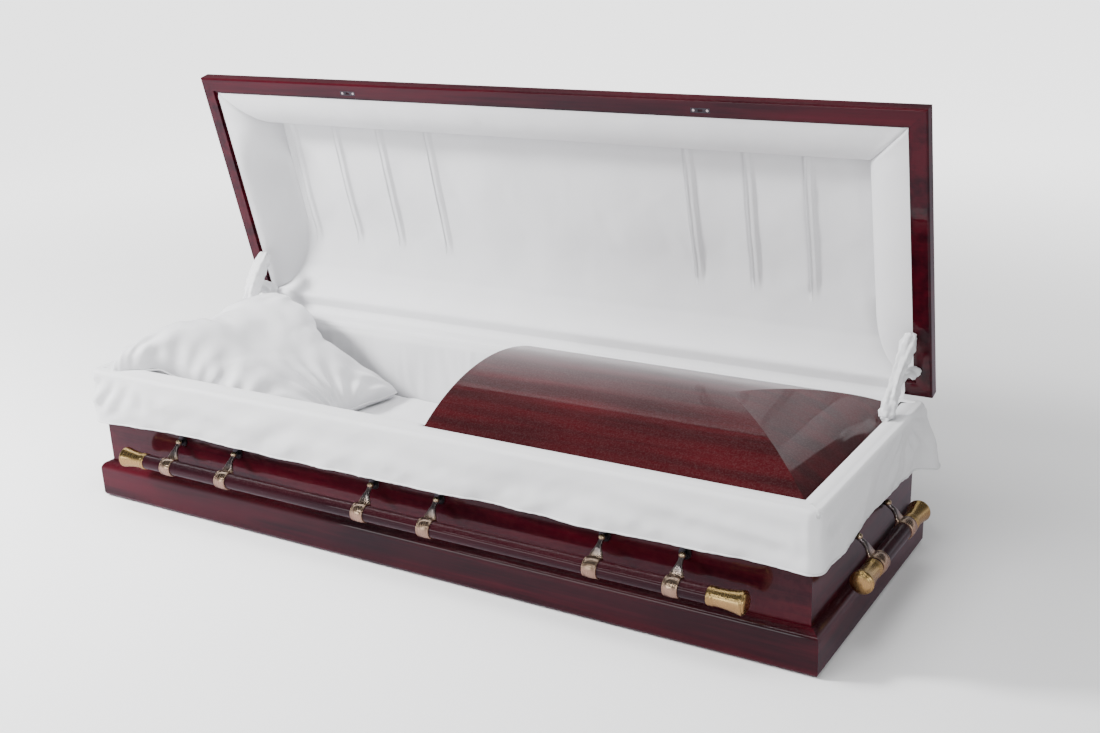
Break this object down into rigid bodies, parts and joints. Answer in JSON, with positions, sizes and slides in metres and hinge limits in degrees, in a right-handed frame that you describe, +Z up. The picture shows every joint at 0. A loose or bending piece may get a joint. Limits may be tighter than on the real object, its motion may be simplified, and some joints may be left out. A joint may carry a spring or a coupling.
{
  "type": "funeral casket",
  "caption": "Full-couch wooden casket with a hinged domed lid, lift-off foot panel, white cloth lining and swing-bar handles.",
  "frame": {"origin": "on the floor, under the middle of the casket, at the underside of the bottom board", "axes": "+X to the foot end, +Y to the hinge side at the back, +Z up; the front faces -Y"},
  "size_m": [2.251, 0.9212, 1.1036],
  "materials": {
    "dark_lacquer": "high-gloss dark mahogany lacquer",
    "red_lacquer": "high-gloss red mahogany lacquer",
    "plain_board": "plain sealed board",
    "white_satin": "white satin cloth",
    "pillow_satin": "white satin pillow cloth",
    "skirt_cloth": "white crepe skirt cloth",
    "lid_cloth": "white tufted lid cloth",
    "bright_brass": "polished antique brass",
    "antique_brass": "aged brass, darker in the hollows",
    "dark_steel": "dark plated steel"
  },
  "bodies": {
    "casket": {"bottom_board": "plain_board", "front_wall": "dark_lacquer", "back_wall": "dark_lacquer", "head_wall": "dark_lacquer", "foot_wall": "dark_lacquer", "front_moulding": "dark_lacquer", "back_moulding": "dark_lacquer", "head_moulding": "dark_lacquer", "foot_moulding": "dark_lacquer", "front_rail": "dark_lacquer", "back_rail": "dark_lacquer", "head_rail": "dark_lacquer", "foot_rail": "dark_lacquer", "front_lining": "white_satin", "back_lining": "white_satin", "head_lining": "white_satin", "foot_lining": "white_satin", "mattress": "white_satin", "pillow": "pillow_satin", "front_skirt": "skirt_cloth", "head_skirt": "skirt_cloth", "foot_skirt": "skirt_cloth", "foot_panel": "red_lacquer", "hinge_base_leaves": "dark_steel", "head_stay_sleeve": "skirt_cloth", "foot_stay_sleeve": "skirt_cloth", "front_lugs": "antique_brass", "back_lugs": "antique_brass", "head_lugs": "antique_brass", "foot_lugs": "antique_brass"},
    "lid": {"lid_front_rim": "dark_lacquer", "lid_back_rim": "dark_lacquer", "lid_head_rim": "dark_lacquer", "lid_foot_rim": "dark_lacquer", "lid_front_board": "dark_lacquer", "lid_back_board": "dark_lacquer", "lid_head_board": "dark_lacquer", "lid_foot_board": "dark_lacquer", "lid_front_roll": "lid_cloth", "lid_head_roll": "lid_cloth", "lid_foot_roll": "lid_cloth", "lid_hinge_cove": "lid_cloth", "lid_ceiling": "lid_cloth", "hinge_lid_leaves": "dark_steel", "catch_plates": "dark_steel", "catch_screws": "bright_brass"},
    "front_swing_bar": {"front_bar": "dark_lacquer", "front_bar_tips": "bright_brass", "front_arms": "antique_brass"},
    "back_swing_bar": {"back_bar": "dark_lacquer", "back_bar_tips": "bright_brass", "back_arms": "antique_brass"},
    "head_swing_bar": {"head_bar": "dark_lacquer", "head_bar_tips": "bright_brass", "head_arms": "antique_brass"},
    "foot_swing_bar": {"foot_bar": "dark_lacquer", "foot_bar_tips": "bright_brass", "foot_arms": "antique_brass"}
  },
  "joints": [
    {"name": "lid_hinge", "type": "hinge", "parent": "casket", "child": "lid", "pos_m": [0, 0.3675, 0.38], "axis": [1, 0, 0], "range_deg": [0, 77], "deforming": ["head_stay_sleeve", "foot_stay_sleeve"]},
    {"name": "front_bar_swing", "type": "hinge", "parent": "casket", "child": "front_swing_bar", "pos_m": [0, -0.353, 0.212], "axis": [-1, 0, 0], "range_deg": [0, 60]},
    {"name": "back_bar_swing", "type": "hinge", "parent": "casket", "child": "back_swing_bar", "pos_m": [0, 0.353, 0.212], "axis": [1, 0, 0], "range_deg": [0, 60]},
    {"name": "head_bar_swing", "type": "hinge", "parent": "casket", "child": "head_swing_bar", "pos_m": [-1.053, 0, 0.212], "axis": [0, 1, 0], "range_deg": [0, 60]},
    {"name": "foot_bar_swing", "type": "hinge", "parent": "casket", "child": "foot_swing_bar", "pos_m": [1.053, 0, 0.212], "axis": [0, -1, 0], "range_deg": [0, 60]}
  ]
}
